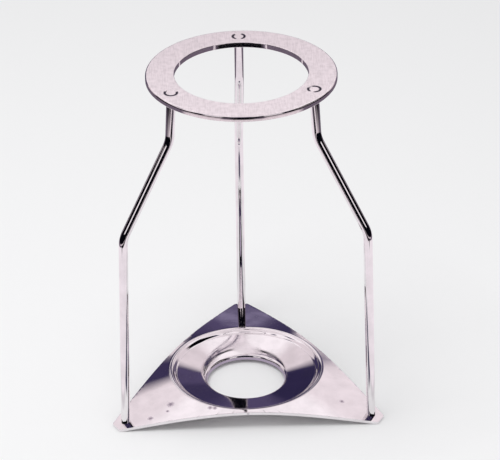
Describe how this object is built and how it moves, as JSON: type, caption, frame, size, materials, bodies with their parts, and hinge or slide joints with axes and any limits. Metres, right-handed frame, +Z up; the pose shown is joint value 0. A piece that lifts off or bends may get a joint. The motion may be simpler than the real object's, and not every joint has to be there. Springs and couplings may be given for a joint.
{
  "type": "lab tripod stand",
  "caption": "Laboratory tripod stand: flat support ring on cranked rod legs riveted to a three-lobed chromed base plate with a burner dish and hole.",
  "frame": {"origin": "on the axis of the ring and of the base plate's hole, at the level of the table", "axes": "+Z up along the stand's axis; +Y towards the back leg, so the other two legs stand at the front left and front right"},
  "size_m": [0.1462, 0.1326, 0.192],
  "materials": {
    "brushed_ring": "finely brushed, half matt",
    "chromed_rod": "bright chrome plate",
    "chromed_sheet": "bright chrome plate with a few faint specks"
  },
  "bodies": {
    "root": {"top_ring": "brushed_ring", "leg_back": "chromed_rod", "leg_left": "chromed_rod", "leg_right": "chromed_rod", "base_plate": "chromed_sheet"}
  },
  "joints": []
}
